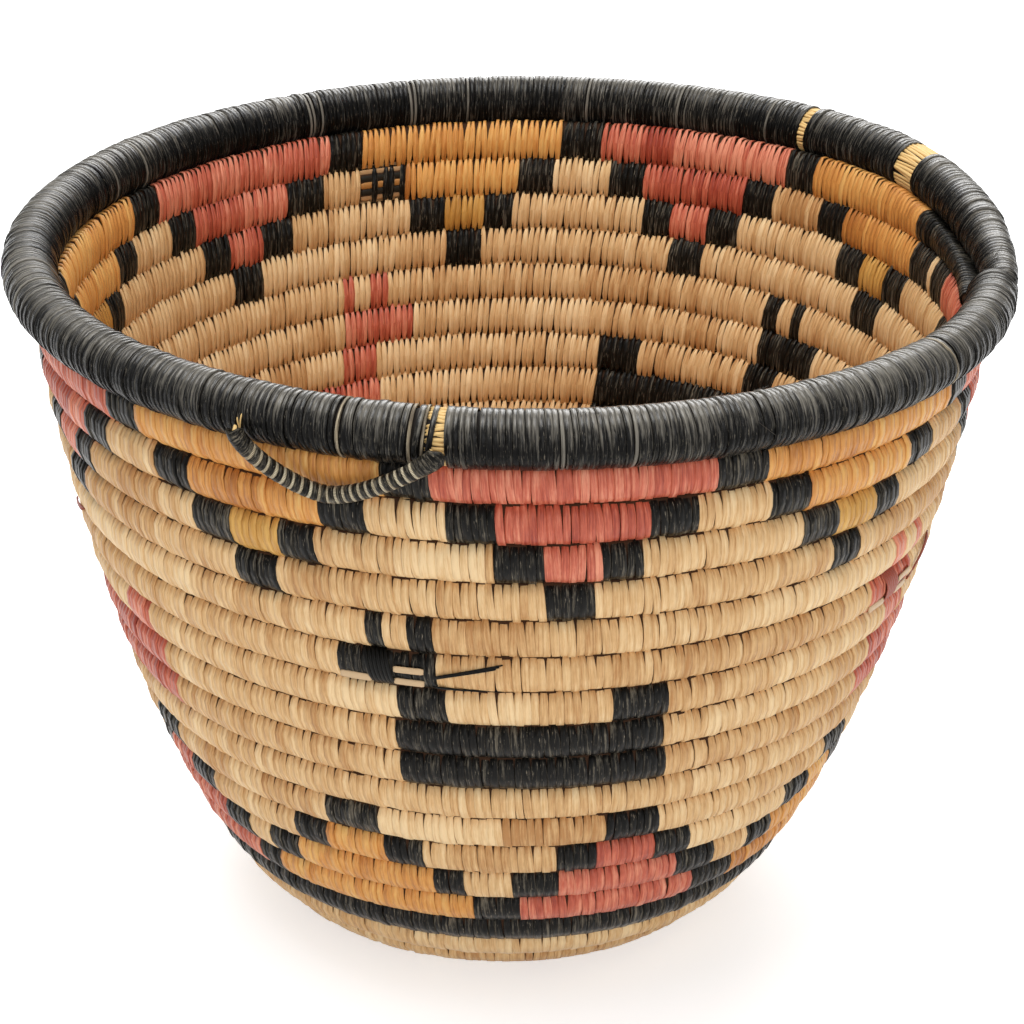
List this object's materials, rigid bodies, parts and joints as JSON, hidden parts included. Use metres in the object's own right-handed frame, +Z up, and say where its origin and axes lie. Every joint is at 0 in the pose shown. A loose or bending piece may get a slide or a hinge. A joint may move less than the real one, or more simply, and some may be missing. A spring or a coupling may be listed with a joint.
{
  "type": "coiled basket",
  "caption": "Deep round coiled basket with a flat base, flaring wall, thick dark bound rim and a small wrapped hanging loop on the rim, for storing and carrying goods.",
  "frame": {"origin": "on the floor under the basket's upright axis, in the middle of the base", "axes": "+Z up out of the open mouth; the hanging loop is on the -Y side, a little towards -X"},
  "size_m": [0.3273, 0.336, 0.2471],
  "materials": {
    "natural_splint": "split leaf, natural tan to pale peach, satin, with darker seams between stitches",
    "black_splint": "split leaf dyed near-black, slightly glossy, with grey-brown streaks",
    "red_splint": "split leaf dyed brick to coral red, satin",
    "ochre_splint": "split leaf dyed golden brown, satin",
    "grass_bundle": "bundle of dry golden grass, matte"
  },
  "bodies": {
    "basket": {"start_knot": "natural_splint", "foundation_coil": "grass_bundle", "stitching_round_01": "natural_splint", "stitching_round_02": "natural_splint", "stitching_round_03": "natural_splint", "stitching_round_04": "natural_splint", "stitching_round_05": "natural_splint", "stitching_round_06": "natural_splint", "stitching_round_07": "natural_splint", "stitching_round_08": "black_splint", "stitching_round_09": "ochre_splint", "stitching_round_10": "natural_splint", "stitching_round_11": "natural_splint", "stitching_round_12": "natural_splint", "stitching_round_13": "natural_splint", "stitching_round_14": "black_splint", "stitching_round_15": "natural_splint", "stitching_round_16": "natural_splint", "stitching_round_17": "natural_splint", "stitching_round_18": "natural_splint", "stitching_round_19": "natural_splint", "stitching_round_20": "natural_splint", "stitching_round_21": "red_splint", "stitching_round_22": "ochre_splint", "rim_bundle": "grass_bundle", "rim_binding_right": "black_splint", "rim_binding_left": "black_splint", "rim_binding_tail": "black_splint"},
    "hanging_loop": {"loop_bundle": "grass_bundle", "loop_binding": "black_splint"}
  },
  "joints": [
    {"name": "loop_swing", "type": "hinge", "parent": "basket", "child": "hanging_loop", "pos_m": [-0.04834, -0.15774, 0.23082], "axis": [-0.9564, 0.2918, 0.0129], "range_deg": [0, 110]}
  ]
}
